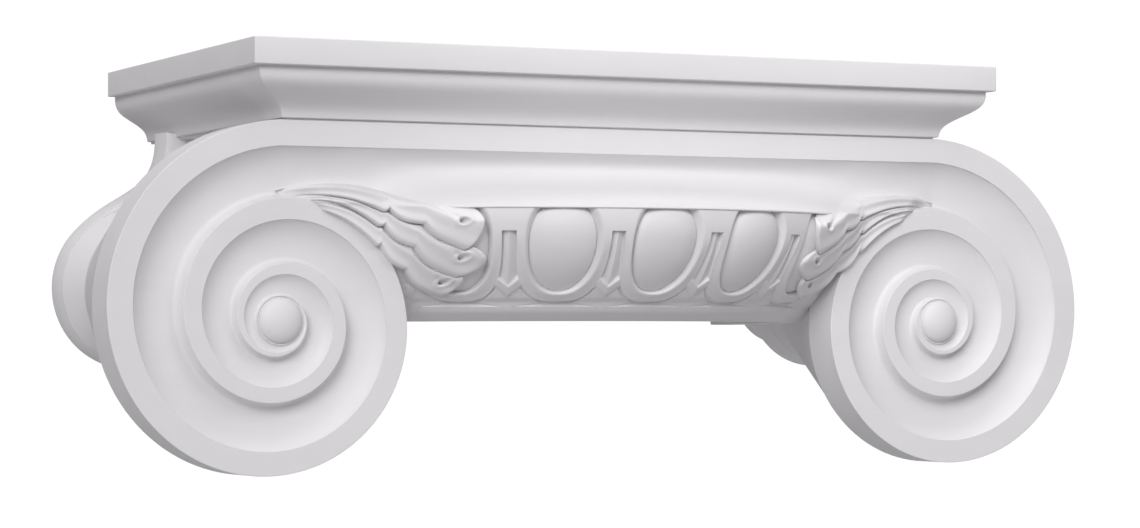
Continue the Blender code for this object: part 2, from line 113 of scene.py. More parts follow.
class ScrollSizes(PropertyGroup):
    """Sizes of the front face: the channel and the two volutes."""
    plate: size("Plate thickness", 0.0192, "Thickness of the slab of the scrolls")
    rim: share("Rim", 0.335, "Share of the band that is its flat rim")
    hollow: share("Hollow", 0.2, "Depth of the carved band as a share of its width")
    channel_depth: size("Channel depth", 0.005, "Depth of the channel below the rim")
    channel_end: size("Channel end", 0.102, "Half width where the channel begins to lift")
    lip_height: size("Lip height", 0.0008, "Height of the fillet below the channel")
    eye_x: size("Eye offset", 0.1566, "Distance of an eye from the middle")
    eye_drop: size("Eye drop", 0.102, "Drop of the volutes' eyes")
    eye_radius: size("Eye seat radius", 0.01, "Radius of the eye's seat")
    button_radius: size("Eye radius", 0.0092, "Radius of the eye itself")
    button_rise: size("Eye rise", 0.004, "How far the eye stands out")
    tightness: share("Tightness", 1.55, "Power by which the spiral tightens")
    edge: size("Edge wear", 0.00012, "Depth of the softened edges")
    turns: IntProperty(name="Turns", description="Turns of the spiral", default=3, min=2, max=5)


class EchinusSizes(PropertyGroup):
    """Sizes of the egg and dart band, the neck and the socket."""
    radius: size("Radius", 0.1774, "Radius of the band at its top")
    pitch: turn("Pitch", 15.0, "Angle from egg to egg")
    egg_angle: turn("Egg half angle", 4.75, "Half the angle that an egg takes")
    egg_drop: size("Egg drop", 0.07, "Drop of the eggs' middles")
    egg_height: size("Egg lower height", 0.0196, "From an egg's middle to its foot")
    egg_top: size("Egg upper height", 0.0172, "From an egg's middle to its top")
    egg_rise: size("Egg rise", 0.0043, "How far an egg stands out of its bed")
    egg_sink: size("Egg bed", 0.0035, "Depth of the groove round an egg")
    shell_angle: turn("Shell half angle", 6.5, "Half the angle that a shell takes")
    shell_height: size("Shell half height", 0.0238, "From an egg's middle to the shell's foot")
    shell_fall: size("Shell fall", 0.0009, "How far a shell falls to its outer edge")
    dart_drop: size("Dart top", 0.0653, "Drop of the dart's top")
    dart_sink: size("Dart bed", 0.003, "Depth of the ground beside a dart")
    barb_drop: size("Barb line", 0.0883, "Drop of the arrowhead's upper edge")
    neck: size("Neck radius", 0.142, "Radius of the neck below the soffit")
    socket: size("Socket radius", 0.1316, "Radius of the socket for the shaft")


class BolsterSizes(PropertyGroup):
    """Sizes of the rolls behind the volutes and of their belts."""
    waist_x: size("Waist offset", 0.1765, "Distance of the waist from the middle")
    waist_drop: size("Waist drop", 0.081, "Drop of the waist's middle")
    waist: share("Waist size", 0.49, "Size of the waist as a share of the volute")
    cup: size("Cup", 0.014, "Length of the cup before the belt")
    centre_x: size("Belt centre", 0.1733, "Distance of the belt from the middle")
    centre_drop: size("Belt drop", 0.0863, "Drop of the belt's centre")
    belt_radius: size("Belt radius", 0.0357, "Radius of the belt")
    belt_depth: size("Belt place", 0.0391, "Distance of the belt's front from the wall")
    belt_width: size("Belt width", 0.013, "Width of the belt")
    neck_angle: turn("Neck angle", 46.0, "Angle at which the neck leaves the belt")


class LeafSizes(PropertyGroup):
    """Sizes of the three leaves that fan out of each volute."""
    height: size("Leaf height", 0.0042, "How far a leaf stands out of its ground")
    tooth: size("Tooth depth", 0.0026, "Depth of the scallops in the lower edge")
    groove: size("Curl groove", 0.0013, "Depth of the groove into the curl")
    crevice: size("Crevice", 0.0016, "Depth of the line between two leaves")
    curl: size("Curl radius", 0.0016, "Radius of the drilled curl")


class CapitalFinish(PropertyGroup):
    """The primer over the cast foam."""
    primer: colour("Primer", (0.79, 0.775, 0.79), "Colour of the white primer")
    shade: colour("Thin primer", (0.74, 0.725, 0.745), "Colour where the primer is thinner")
    roughness: share("Roughness", 0.52, "Middle roughness of the primer")
    grain: size("Grain", 0.00006, "Height of the primer's fine grain")


class CapitalStage(PropertyGroup):
    """Floor, light and camera."""
    floor: colour("Floor", (0.56, 0.56, 0.565), "Colour of the floor")
    drop: size("Floor drop", 0.25, "Height of the hung capital over the floor")
    tint: colour("Light tint", (1.0, 0.985, 1.0), "Colour of the light from all round")
    key: share("Key light", 1.74, "Strength of the large soft light from the front left")
    key_side: turn("Key side", -40.0, "How far to the side the key light stands")
    key_height: turn("Key height", 25.0, "How high the key light stands")
    top: share("Top light", 0.95, "Strength of the soft light from above")
    softness: turn("Softness", 30.0, "How large the key and top lights look")
    near: share("Near light", 0.78, "Power of the light close in front")
    near_place: FloatVectorProperty(
        name="Near light place", description="Where it hangs, from the flat band's foot",
        default=(0.08, -0.38, 0.24), unit="LENGTH")
    near_size: size("Near light size", 0.35, "Width of the near light")
    even: share("Even light", 0.23, "Strength of the light from all round")
    lens: FloatProperty(name="Lens", description="Focal length", default=103.047, unit="CAMERA")


GROUPS = {
    "capital_abacus": AbacusSizes, "capital_scroll": ScrollSizes,
    "capital_echinus": EchinusSizes, "capital_bolster": BolsterSizes,
    "capital_leaf": LeafSizes, "capital_finish": CapitalFinish, "capital_stage": CapitalStage}


# ---- surfaces and meshes

def clamp(value):
    """Held between 0 and 1."""
    return np.clip(value, 0.0, 1.0)


def ease(value, low, high):
    """0 below low, 1 above high, and 3x^2 - 2x^3 between."""
    x = clamp((value - low) / (high - low))
    return x * x * (3 - 2 * x)


def xyz(x, y, z):
    """Three coordinates of the same shape, or that stretch to one, as points."""
    return np.stack(np.broadcast_arrays(x, y, z), axis=-1)


def grid_faces(rows, columns, closed=False, start=0):
    """Quads between neighbouring points of a grid that is numbered row by row."""
    i, j = np.ogrid[:rows - 1, :columns if closed else columns - 1]
    k = (j + 1) % columns
    row, after = i * columns, (i + 1) * columns
    quads = np.stack([row + j, row + k, after + k, after + j], -1)
    return (quads.reshape(-1, 4) + start).tolist()


def outward(rings):
    """Rings in the order that turns their skin outwards: reversed where the volume inside, a
    sixth of the sum of a . (b x c) over its triangles, comes out negative."""
    def fans(first, second, third):
        return np.sum(first * np.cross(second, third))

    after = np.roll(rings, -1, axis=1)
    sides = fans(rings[:-1], after[:-1], after[1:]) + fans(rings[:-1], after[1:], rings[1:])
    bottom = fans(rings[0].mean(axis=0), after[0], rings[0])
    top = fans(rings[-1].mean(axis=0), rings[-1], after[-1])
    return rings if sides + bottom + top > 0 else rings[::-1]


def skins(*lofts):
    """Closed skins over rings of points, facing outwards: rows of quads and a cap at each end."""
    points, faces, start = [], [], 0
    for rings in lofts:
        count, around = rings.shape[:2]
        end = start + count * around
        faces += grid_faces(count, around, True, start)
        faces += [list(range(start, start + around))[::-1], list(range(end - around, end))]
        points.append(outward(rings).reshape(-1, 3))
        start = end
    return join(points), faces


def from_drops(points):
    """(x, z) for points given as (x, drop)."""
    return np.asarray(points) * (1.0, -1.0) + (0.0, DATUM_Z)


def cubic(p, t):
    """(1-t)^3 p0 + 3t(1-t)^2 p1 + 3t^2(1-t) p2 + t^3 p3 for a whole array of shares t."""
    t = t[:, None]
    return ((1 - t) ** 3 * p[0] + 3 * t * (1 - t) ** 2 * p[1] + 3 * t * t * (1 - t) * p[2]
            + t ** 3 * p[3])


def hang(name, data, place=(0.0, 0.0, 0.0), turned=(0.0, 0.0, 0.0)):
    """A new object in the scene."""
    made = bpy.data.objects.new(name, data)
    made.location, made.rotation_euler = place, turned
    bpy.context.scene.collection.objects.link(made)
    return made


def new_mesh(name, points, faces, material):
    mesh = bpy.data.meshes.new(name)
    mesh.from_pydata(points.reshape(-1, 3).tolist(), [], faces)
    mesh.materials.append(material)
    return mesh


def place_piece(name, shape, finish="primer_on_front", crease=38.0, weld=0.00001, wound=True):
    """One piece, riding on its body in place of the plain solid. Edges that turn by more than
    crease degrees stay sharp, and faces that aren't wound outwards are turned here."""
    mesh = new_mesh(name, *shape, bpy.data.materials.get(finish) or primer(finish))
    work = bmesh.new()
    work.from_mesh(mesh)
    bmesh.ops.remove_doubles(work, verts=work.verts, dist=weld)
    bmesh.ops.dissolve_degenerate(work, edges=work.edges, dist=weld)
    if not wound:
        bmesh.ops.recalc_face_normals(work, faces=work.faces)
    work.to_mesh(mesh)
    work.free()
    mesh.shade_smooth()
    mesh.set_sharp_from_angle(angle=radians(crease))
    piece = hang(name, mesh)
    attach(piece, "root")
    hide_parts(NODE)


# ---- materials

# How much coarser each primer's grain is than the finest.
PRIMER_COARSENESS = {"primer_on_front": 1.0, "primer_on_back": 2.0}


def plug(tree, node, inputs):
    """Each named input gets a link from a socket, or a plain value."""
    for key, value in inputs.items():
        if isinstance(value, bpy.types.NodeSocket):
            tree.links.new(value, node.inputs[key])
        else:
            node.inputs[key].default_value = value


def socket(tree, kind, output, inputs=None, **settings):
    """The named output of a new node with these settings and inputs."""
    node = tree.nodes.new("ShaderNode" + kind)
    for key, value in settings.items():
        setattr(node, key, value)
    plug(tree, node, inputs or {})
    return node.outputs[output]


def blank(name):
    """A new material, its node tree and its shader."""
    material = bpy.data.materials.new(name)
    material.use_nodes = True
    return material, material.node_tree, material.node_tree.nodes["Principled BSDF"]


def ramp(tree, source, low, high, from_low=0.0, from_high=1.0, **settings):
    """A straight line from (from_low, low) to (from_high, high), level beyond both."""
    return socket(tree, "MapRange", "Result", {
        "Value": source, "From Min": from_low, "From Max": from_high, "To Min": low,
        "To Max": high}, **settings)


def blended(tree, share_of_last, first, last):
    """One colour turning into another."""
    return socket(tree, "Mix", "Result", {
        "Factor": share_of_last, "A": (*first, 1.0), "B": (*last, 1.0)}, data_type="RGBA")


def primer(name):
    """Matt white primer: a cloudy film of uneven thickness, faint brush drag and a fine grain."""
    finish, coarse = bpy.context.scene.capital_finish, PRIMER_COARSENESS[name]
    material, tree, shader = blank(name)
    place = socket(tree, "TexCoord", "Object")

    def noise(scale, detail, vector=place):
        return socket(tree, "TexNoise", "Fac", {
            "Scale": scale, "Detail": detail, "Vector": vector})

    def added(first, second):
        return socket(tree, "Math", "Value", {0: first, 1: second}, operation="ADD")

    clouds = ramp(tree, noise(9.0, 3.0), 0.0, 0.55, 0.35, 0.75)
    brushed = socket(tree, "Mapping", "Vector", {"Vector": place, "Scale": (0.25, 1.0, 1.6)})
    drag = ramp(tree, noise(60.0, 2.0, brushed), 0.0, 0.3, 0.4, 0.7)
    middle = finish.roughness
    rough = ramp(tree, noise(24.0, 3.0), middle - 0.06, middle + 0.08, 0.3, 0.7)
    grain = ramp(tree, noise(1400.0 / coarse, 2.0), 0.0, 0.5)
    waves = ramp(tree, noise(70.0, 2.0), 0.0, 1.2 * coarse)
    plug(tree, shader, {
        "IOR": 1.45, "Specular IOR Level": 0.38, "Roughness": rough,
        "Base Color": blended(tree, added(clouds, drag), finish.primer, finish.shade),
        "Normal": socket(tree, "Bump", "Normal", {
            "Distance": finish.grain * coarse, "Height": added(grain, waves)})})
    return material


# ---- abacus

def arc(centre, radius, first, last, steps):
    """Points on a circle's arc, first and last in degrees."""
    angle = np.radians(np.linspace(first, last, steps))
    return np.stack([centre[0] + radius * np.cos(angle), centre[1] + radius * np.sin(angle)], 1)


# Share of the cyma that is upright, and how far its fall runs ahead of its inset.
UPRIGHT, LAG = 0.12, 0.08
# The corner under the flat band from the step, and the worn last edge from the cyma's end, as
# (inset, height).
BAND_CORNER = np.array([(-0.0004, 0.0), (-0.0001, -0.0001), (0.0, -0.0004)])
CYMA_EDGE = np.array([(0.0001, -0.0002), (0.0003, -0.0003), (0.0018, -0.0004), (0.0018, -0.0013)])


def abacus_profile(sizes):
    """(inset, height) down the edge: a flat band with worn edges, a small step in, a short
    upright, and a cyma reversa where with w = sin(2 pi t) / 2 pi the inset is t - swing w and
    the drop is upright + (1 - upright)(t + lag w), with its last edge worn as well."""
    r = sizes.rounding
    top = arc((r, FASCIA - r), r, 90.0, 180.0, 6)
    foot = arc((r, r), r, 180.0, 270.0, 6)
    t = np.linspace(0, 1, 72)
    wave = np.sin(2 * pi * t) / (2 * pi)
    inset = sizes.step + sizes.cyma_projection * (t - sizes.swing * wave)
    drop = sizes.cyma_height * (UPRIGHT + (1 - UPRIGHT) * (t + LAG * wave))
    cyma = np.stack([inset, -drop], 1)
    return join([top, foot, BAND_CORNER + (sizes.step, 0.0), cyma, cyma[-1] + CYMA_EDGE])


def abacus_rings(sizes):
    """The profile carried round the two sides and the front, mitred at the corners."""
    inset, height = np.split(abacus_profile(sizes), 2, axis=1)
    r = sizes.rounding
    left, right = arc((0.0, 0.0), r, 180.0, 270.0, 6), arc((0.0, 0.0), r, 270.0, 360.0, 6)
    half = sizes.width / 2 - inset
    front = WALL_Y - DEPTH + inset
    wall = np.full_like(half, WALL_Y - 0.0002)
    spread = np.linspace(-1.0, 1.0, 13)[1:-1]
    x = join([-half, -half + r + left[:, 0], half * spread, half - r + right[:, 0], half], axis=1)
    y = join([wall, front + r + left[:, 1], front + 0.0 * spread, front + r + right[:, 1], wall],
             axis=1)
    return xyz(x, y, DATUM_Z + height)


# ---- scrolls

# Places across a band, from the rim's outer edge to the next turn's, close together at edges.
BAND = np.array([
    0.0, 0.004, 0.009, 0.016, 0.03, 0.08, 0.16, 0.24, 0.3, 0.328, 0.335, 0.3385, 0.342, 0.35,
    0.362, 0.378, 0.398, 0.42, 0.445, 0.475, 0.51, 0.55, 0.6, 0.67, 0.74, 0.81, 0.86,
    0.885, 0.9, 0.915, 0.93, 0.944, 0.956, 0.967, 0.977, 0.985, 0.991, 0.996, 1.0])
# Depth and width of the small step inside the rim, and where the cove ends, as shares.
STEP_DEPTH, STEP_WIDTH, COVE_END = 0.07, 0.007, 0.9
# Drift of the first turns' centre, sideways and upwards, and how far the fillet below the
# channel stands over the eggs.
SWAY, RISE, LIP_PROUD = 0.0005, 0.00175, 0.0006
STEPS_PER_TURN, NOTCH_STEPS, CHANNEL_STEPS = 112, 8, 64
# Rings of the eye's seat and of the eye's own rear, as (share of its radius, depth), and how
# deep the eye's dome begins.
EYE_SEAT = ((0.985, 0.0003), (0.965, 0.0006), (0.8, 0.0007))
EYE_REAR = np.array([(0.55, 0.004), (0.97, 0.004), (1.0, 0.0036)])
EYE_SINK = 0.0006
MIRROR = (-1.0, 1.0, 1.0)


def spiral_radius(sizes, turns):
    """Eye radius + (full radius - eye radius)(1 - t / turns)^tightness."""
    left = 1 - np.clip(turns, 0.0, sizes.turns) / sizes.turns
    full = sizes.eye_drop - (DATUM_Z - SCROLL_TOP_Z)
    return sizes.eye_radius + (full - sizes.eye_radius) * left ** sizes.tightness


def spiral_point(sizes, turns, radius):
    """A point of the spiral: turn 0 is straight up, it runs outwards first, and the centre
    drifts by half a sine wave over the first turn sideways and over two turns upwards."""
    angle = pi / 2 - 2 * pi * turns
    x = sizes.eye_x + SWAY * np.sin(pi * clamp(turns))
    z = DATUM_Z - sizes.eye_drop + RISE * np.sin(pi * np.clip(turns, 0.0, 2.0) / 2)
    return x + radius * np.cos(angle), z + radius * np.sin(angle)


def band_depth(sizes, across, width):
    """Depth of the carving across a band: flat rim, a small sharp step, a wide cove that is
    1 - (1 - u)^3, and a steep wall that is 1 - v^3 up to the next turn's edge, edges worn."""
    u = clamp((across - sizes.rim) / (COVE_END - sizes.rim))
    step = STEP_DEPTH * clamp((across - sizes.rim) / STEP_WIDTH)
    cove = step + (1 - STEP_DEPTH) * (1 - (1 - u) ** 3)
    wall = 1 - clamp((across - COVE_END) / (1 - COVE_END)) ** 3
    depth = sizes.hollow * width * np.where(across < COVE_END, cove, wall)
    worn = sizes.edge * clamp(1 - across * width / (2.4 * sizes.edge)) ** 2
    lifted = sizes.edge * np.exp(-depth / (1.5 * sizes.edge))
    return np.where(across < sizes.rim, worn, depth + np.where(across > 0.7, lifted, 0.0))


def echinus_front(x, radius):
    """Y of the front of a circle round the column's axis."""
    return AXIS_Y - np.sqrt(np.maximum(radius * radius - x * x, 0.0))


def volute_rows(sizes, turns):
    """The band across each station of the spiral, from its outer edge to the next turn's."""
    outer, inner = spiral_radius(sizes, turns), spiral_radius(sizes, turns + 1.0)
    x_out, z_out = spiral_point(sizes, turns, outer)
    follow = np.where(turns < sizes.turns - 1, turns + 1.0, turns)
    x_in, z_in = spiral_point(sizes, follow, inner)
    y = FACE_Y + band_depth(sizes, BAND, (outer - inner)[:, None])
    x = x_out[:, None] + (x_in - x_out)[:, None] * BAND
    return xyz(x, y, z_out[:, None] + (z_in - z_out)[:, None] * BAND)


def channel_edge(sizes):
    """The channel's lower edge: level along the eggs, lifting to a notch on the volute's own
    rim by the ease curve, then up along that rim."""
    turns = 1 - np.arange(NOTCH_STEPS, 0, -1) / STEPS_PER_TURN
    rim_x, rim_z = spiral_point(sizes, turns, spiral_radius(sizes, turns))
    x = np.linspace(0, rim_x[0], CHANNEL_STEPS, endpoint=False)
    z = RING_Z + (rim_z[0] - RING_Z) * ease(x, sizes.channel_end, rim_x[0])
    return join([x, rim_x]), join([z, rim_z])


def channel_sink(sizes, across, reach):
    """Depth below the rim: a u - (a + reach) u^2 with a chosen so that the channel's depth is
    its largest value, and its end stands reach before the rim."""
    deep = sizes.channel_depth
    fall = 2 * (deep + np.sqrt(deep * (deep + reach)))
    return fall * across - (fall + reach) * across * across


def channel_rows(sizes, radius, x, edge_z):
    """The band between the volutes: below the rim a parabola that sweeps forward to the eggs;
    towards a volute it turns into that volute's own section."""
    edge_y = np.minimum(echinus_front(x, radius + LIP_PROUD), FACE_Y)[:, None]
    band = (SCROLL_TOP_Z - edge_z)[:, None]
    across = clamp((BAND - sizes.rim) / (1 - sizes.rim))
    # The rim keeps the width that it has on the volute.
    rim_width = sizes.rim * band[-1]
    down = np.minimum(BAND / sizes.rim, 1.0) * rim_width + across * (band - rim_width)
    step = 0.0004 * clamp(across / 0.01) * (1 - across)
    swept = FACE_Y + step + channel_sink(sizes, across, FACE_Y - edge_y)
    swept = swept + sizes.edge * np.exp((down - band) / (2 * sizes.edge))
    rim = FACE_Y + band_depth(sizes, BAND, band)
    to_volute = ease(x, sizes.channel_end, sizes.eye_x)[:, None]
    y = np.where(BAND <= sizes.rim, rim, swept + (rim - swept) * to_volute)
    return xyz(x[:, None], y, SCROLL_TOP_Z - down)


def scroll_half(sizes, radius):
    """Half of the front face with the wall round its outline, and the index list of its rear."""
    x, z = channel_edge(sizes)
    turns = np.arange(sizes.turns * STEPS_PER_TURN + 1) / STEPS_PER_TURN
    rows = join([channel_rows(sizes, radius, x, z), volute_rows(sizes, turns)])
    count, across = rows.shape[:2]
    points, faces = [rows.reshape(-1, 3)], grid_faces(count, across)

    def beside(row, ring, closed=False):
        """Adds a ring of points, with quads back to a row of earlier ones, and numbers it."""
        new = np.arange(len(ring)) + sum(len(part) for part in points)
        quads = ([row, np.roll(row, -1), np.roll(new, -1), new] if closed
                 else [row[:-1], new[:-1], new[1:], row[1:]])
        faces.extend(np.stack(quads, 1).tolist())
        points.append(ring)
        return new

    # The eye's seat inside the last turn.
    start = len(x)
    row = np.arange(start + (sizes.turns - 1) * STEPS_PER_TURN, count - 1) * across + across - 1
    angle = pi / 2 - 2 * pi * turns[-STEPS_PER_TURN - 1:-1]
    for scale, sink in EYE_SEAT:
        r = sizes.eye_radius * scale
        row = beside(row, xyz(sizes.eye_x + r * np.cos(angle), FACE_Y + sink,
                              DATUM_Z - sizes.eye_drop + r * np.sin(angle)), closed=True)
    faces.append(row.tolist())

    # The fillet below the channel, dying away at the notch.
    row = np.arange(CHANNEL_STEPS + 1) * across + across - 1
    edge = rows[:CHANNEL_STEPS + 1, -1]
    fade = 1 - ease(edge[:, :1], sizes.channel_end, edge[-1, 0])
    for down, back in ((0.0003, -sizes.edge), (sizes.lip_height - 0.0003, -sizes.edge),
                       (sizes.lip_height, 0.0002)):
        row = beside(row, edge + fade * (0.0, back, -down))

    # The wall round the outline, back to the plate's rear.
    row = join([np.arange(start + STEPS_PER_TURN - NOTCH_STEPS) * across, row[::-1]])
    outline = join(points)[row]
    for depth in (0.0005, sizes.plate / 2, sizes.plate):
        row = beside(row, xyz(outline[:, 0], FACE_Y + depth, outline[:, 2]))
    return join(points), faces, row


def scroll_face(sizes, radius):
    """Both halves, and one face that closes the rear."""
    points, faces, rear = scroll_half(sizes, radius)
    count = len(points)
    faces = faces + [[index + count for index in face] for face in faces]
    faces.append(rear.tolist() + (rear[::-1] + count).tolist())
    return join([points, points * MIRROR]), faces


def eye_rings(sizes, side):
    """A low dome turned about the volute's axis: radius cos a, rise sin a, closed behind."""
    angle = np.linspace(0, pi / 2, 22)[:-1]
    radius = join([EYE_REAR[:, 0], np.cos(angle), [0.03]]) * sizes.button_radius
    dome = EYE_SINK - (sizes.button_rise + EYE_SINK) * np.sin(angle)
    depth = join([EYE_REAR[:, 1], dome, [-sizes.button_rise]])
    around = np.linspace(0, 2 * pi, 72, endpoint=False)
    x = sizes.eye_x + radius[:, None] * np.cos(around)
    z = DATUM_Z - sizes.eye_drop + radius[:, None] * np.sin(around)
    return xyz(side * x, FACE_Y + depth[:, None], z)


# ---- egg band, neck and socket

# Places across half an egg, its shell and the ground up to the dart's middle.
EGG_SHARES = (0.0, .12, .24, .36, .48, .58, .67, .75, .82, .88, .925, .96, .985, 1.0)
SHELL_SHARES = (.05, .12, .20, .29, .38, .45, .52, .62, .73, .84, .93, 1.0)
DART_SHARES = (.04, .09, .16, .25, .35, .45, .55, .65, .75, .85, .93, 1.0)
EGGS_EACH_SIDE = 2
# Powers of the egg's and the shell's outlines: 2 is an ellipse.
EGG_POWER, SHELL_POWER = 2.2, 3.0
# Depth of a dart's ridge, and the slope of its arrowhead's edges, its height and half width.
STEM_SINK, BARB_SLOPE, BARB_HEIGHT, BARB_REACH = 0.001, 0.75, 0.0034, 0.0062
# The ground begins so far below the flat band, bends in, and eases off.
OVOLO_TOP, OVOLO_BEND, OVOLO_EASE = 0.05775, 20.57, 7.43
# Depths of the ground between the shells, of its foot and of the fine groove round a shell.
GROUND, FOOT, TRENCH = 0.0016, 0.001, 0.0013
# Where each of these comes in or ends, as drops below the flat band.
FALL_DROPS, TRENCH_DROPS = (0.068, 0.078), (0.078, 0.085)
BED_DROPS, FOOT_DROPS = (0.085, 0.0915), (0.0922, 0.0945)
# The shares of a shell between which it climbs to its ridge, and the arrowhead's steep sides.
RIDGE, STEEP = (-0.1, 0.46), 1.6
# The soffit as (how far outside the neck, drop), and the section's row at its middle line.
SOFFIT = ((0.01, 0.0961), (0.0086, 0.0978), (0.007, 0.099), (0.001, 0.1016),
          (0.0003, 0.102), (0.0, 0.102))
MIDDLE_ROW = 20


def ovolo_radius(z, sizes):
    """Radius of the band's ground: it falls as bend d^2 / (1 + ease d) with the drop d."""
    drop = np.maximum(DATUM_Z - OVOLO_TOP - z, 0.0)
    return sizes.radius - OVOLO_BEND * drop * drop / (1 + OVOLO_EASE * drop)


def egg_carving(sizes, z, across, zone):
    """Angle from the egg's middle and height of the carving. Outlines are superellipses: rho is
    (up^p + out^p)^(1/p). Inside the egg's a dome sqrt(1 - rho^2) rises out of its bed; between
    the two the shell climbs to a ridge and falls away; outside, the dart is a ridge in a sunk
    bed with an arrowhead at its foot."""
    drop, middle = DATUM_Z - z, DATUM_Z - sizes.egg_drop
    p, q = EGG_POWER, SHELL_POWER
    up = np.abs(z - middle) / np.where(z > middle, sizes.egg_top, sizes.egg_height)
    low = np.abs(z - middle) / sizes.shell_height
    egg_edge = sizes.egg_angle * clamp(1 - up ** p) ** (1 / p)
    shell_edge = sizes.shell_angle * np.clip(1 - low ** q, 0.0002, 1.0) ** (1 / q)
    shell_edge = np.where(z > middle, sizes.shell_angle, shell_edge)
    half_pitch = sizes.pitch / 2
    angle = np.where(zone == 0, across * egg_edge, np.where(
        zone == 1, egg_edge + (shell_edge - egg_edge) * across,
        shell_edge + (half_pitch - shell_edge) * across))

    rho = (up ** p + (angle / sizes.egg_angle) ** p) ** (1 / p)
    outer = (low ** q + (angle / sizes.shell_angle) ** q) ** (1 / q)
    fall = sizes.shell_fall * ease(drop, *FALL_DROPS)
    dome = -sizes.egg_sink + sizes.egg_rise * np.sqrt(np.maximum(1 - rho * rho, 0.0))
    part = clamp((rho - 1.0) / np.maximum(rho - outer, 1e-6))
    shell = -sizes.egg_sink * (1 - ease(part, *RIDGE)) / (1 - ease(0.0, *RIDGE))
    shell = shell - fall * ease(part, RIDGE[1], 1.0)
    ground = -GROUND - FOOT * ease(drop, *FOOT_DROPS)
    ground = ground - TRENCH * np.exp(-((outer - 1.022) / 0.018) ** 2) * ease(drop, *TRENCH_DROPS)

    radius = ovolo_radius(z, sizes)
    reach = (half_pitch - angle) * radius
    half = np.clip((half_pitch - shell_edge) * radius, 0.0005, 0.0046)
    deep = -sizes.dart_sink + (sizes.dart_sink - GROUND) * ease(drop, *BED_DROPS)
    stem = deep + (-STEM_SINK - deep) * clamp(1 - reach / half)
    barb_line = DATUM_Z - sizes.barb_drop + BARB_SLOPE * reach
    arris = -0.0001 - 0.1 * reach - STEEP * np.maximum(reach - BARB_REACH, 0.0)
    over, under = np.maximum(z - barb_line, 0.0), np.maximum(barb_line - z, 0.0)
    head = arris - over - 0.14 * under - STEEP * np.maximum(under - BARB_HEIGHT, 0.0)
    dart = np.maximum(np.where(z < barb_line, ground, stem), head)
    dart = np.where(z > DATUM_Z - sizes.dart_drop, -fall, dart)

    inside = np.where(rho < 1.0, dome, np.where(outer <= 1.0005, shell, np.where(
        z > middle, -fall, ground)))
    return angle, np.where(zone == 2, dart, inside)


def egg_heights():
    """Levels of the band's rows, closer together where the carving turns."""
    return DATUM_Z - join([
        np.linspace(DATUM_Z - RING_Z + 0.0004, 0.065, 16), [0.06525, 0.06535],
        np.linspace(0.0657, 0.0835, 34), np.linspace(0.0838, 0.0945, 44)])


def echinus_rings(sizes):
    """Upright sections side by side round the column's axis. Each runs down the carved band,
    under the soffit to the neck, and up inside the socket; the ends run straight to the wall."""
    z = egg_heights()
    zone = np.repeat([0, 1, 2], [len(EGG_SHARES), len(SHELL_SHARES), len(DART_SHARES)])
    across = join([EGG_SHARES, SHELL_SHARES, DART_SHARES])
    angle, height = egg_carving(sizes, z[None, :], across[:, None], zone[:, None])
    radius = ovolo_radius(z, sizes)[None, :] + height
    # One egg from dart to dart, without its first column, which its neighbour has.
    angle = join([-angle[-2:0:-1], angle])
    radius = join([radius[-2:0:-1], radius])
    eggs = range(-EGGS_EACH_SIDE, EGGS_EACH_SIDE + 1)
    end = (EGGS_EACH_SIDE + 0.5) * sizes.pitch
    angles = join([np.full((1, len(z)), -end), *(angle + egg * sizes.pitch for egg in eggs)])
    radii = join([radius[-1:], *[radius] * len(eggs)])

    # Plain flanks that draw in to the neck at the sides.
    plain = np.linspace(end, pi / 2, 25)[1:, None]
    flank = ovolo_radius(z, sizes)
    flank = flank + (sizes.neck - flank) * ease(plain, end, pi / 2)
    side = np.broadcast_to(plain, flank.shape)
    angles = join([-side[::-1], angles, side])
    radii = join([flank[::-1], radii, flank])

    # Soffit, neck and socket follow each section's middle line.
    under = np.array([(sizes.neck + out, DATUM_Z - drop) for out, drop in SOFFIT] + [
        (sizes.socket + 0.0004, NECK_Z), (sizes.socket, NECK_Z + 0.0004),
        (sizes.socket, SOCKET_TOP_Z + 0.012)])
    middle = angles[:, MIDDLE_ROW, None]
    angles = join([angles, np.repeat(middle, len(under), axis=1)], axis=1)
    radii = join([radii, np.broadcast_to(under[:, 0], (len(radii), len(under)))], axis=1)
    rings = xyz(radii * np.sin(angles), AXIS_Y - radii * np.cos(angles), join([z, under[:, 1]]))
    ends = rings[[0, -1]]
    ends[:, :, 1] = WALL_Y - 0.0004
    return join([ends[:1], rings, ends[1:]])


# ---- core behind the face

def rounded_section(corners, radius, steps=4):
    """A polygon's outline with each corner replaced by a short curve drawn to the corner."""
    corners = np.asarray(corners, float)
    before = np.roll(corners, 1, axis=0) - corners
    after = np.roll(corners, -1, axis=0) - corners
    t = np.linspace(0, 1, steps)[None, :, None]
    first = corners + before / np.linalg.norm(before, axis=1, keepdims=True) * radius
    last = corners + after / np.linalg.norm(after, axis=1, keepdims=True) * radius
    path = ((1 - t) ** 2 * first[:, None] + 2 * t * (1 - t) * corners[:, None]
            + t * t * last[:, None])
    return path.reshape(-1, 2)


def carried_back(sections, depths):
    """Sections in elevation, one at each depth from front to wall."""
    return xyz(sections[..., 0], np.asarray(depths)[:, None], sections[..., 1])


